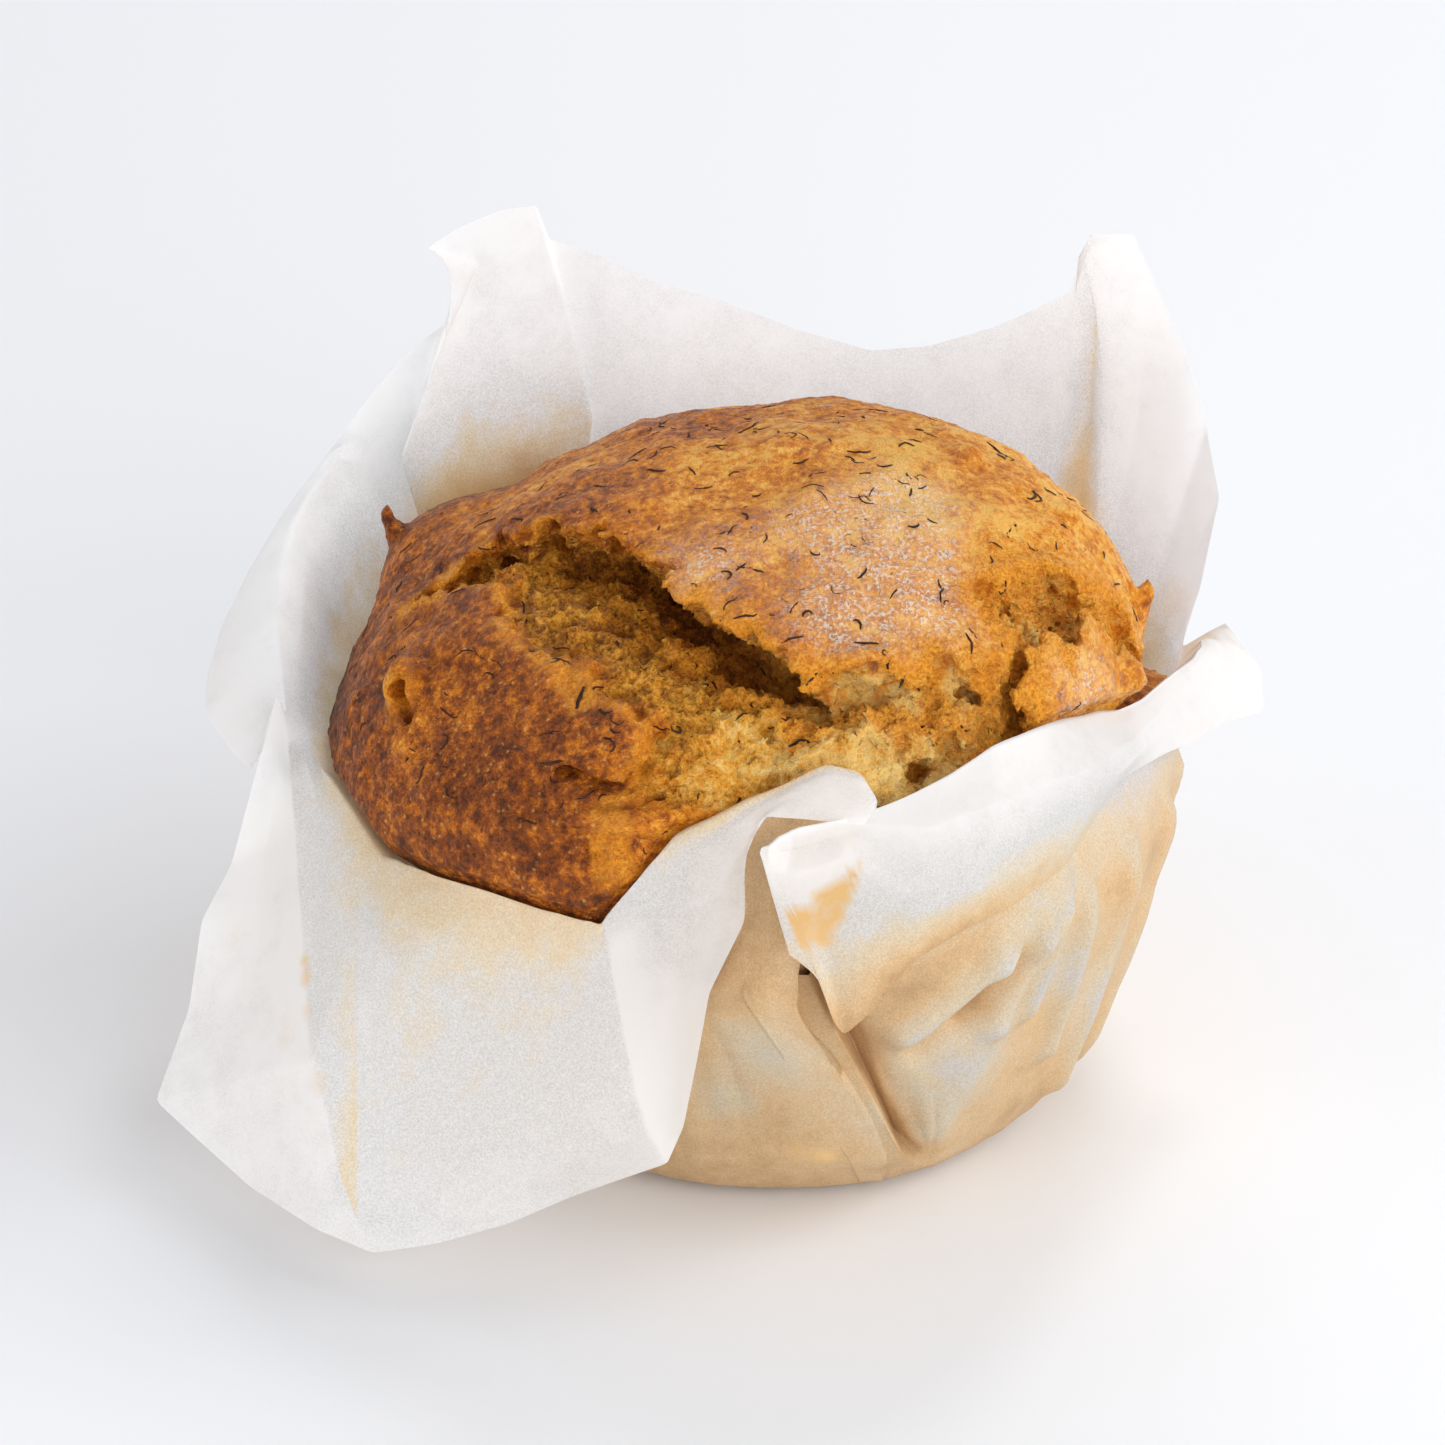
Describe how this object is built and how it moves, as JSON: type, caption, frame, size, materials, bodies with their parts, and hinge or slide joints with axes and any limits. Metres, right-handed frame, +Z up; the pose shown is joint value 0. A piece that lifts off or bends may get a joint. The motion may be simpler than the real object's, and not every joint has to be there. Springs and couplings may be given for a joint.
{
  "type": "muffin in a parchment liner",
  "caption": "Round domed muffin with a split crown, baked in a square parchment liner with flared corners and one corner peeled down.",
  "frame": {"origin": "middle of the liner's flat bottom, on the surface it stands on", "axes": "+Z up out of the crown, -Y towards the front, where the split in the crown and the peeled corner are, +X to the right as seen from the front"},
  "size_m": [0.1046, 0.0946, 0.0728],
  "materials": {
    "baked_crumb": "matte",
    "parchment": "satin"
  },
  "bodies": {
    "root": {"muffin": "baked_crumb", "paper_liner": "parchment"}
  },
  "joints": []
}
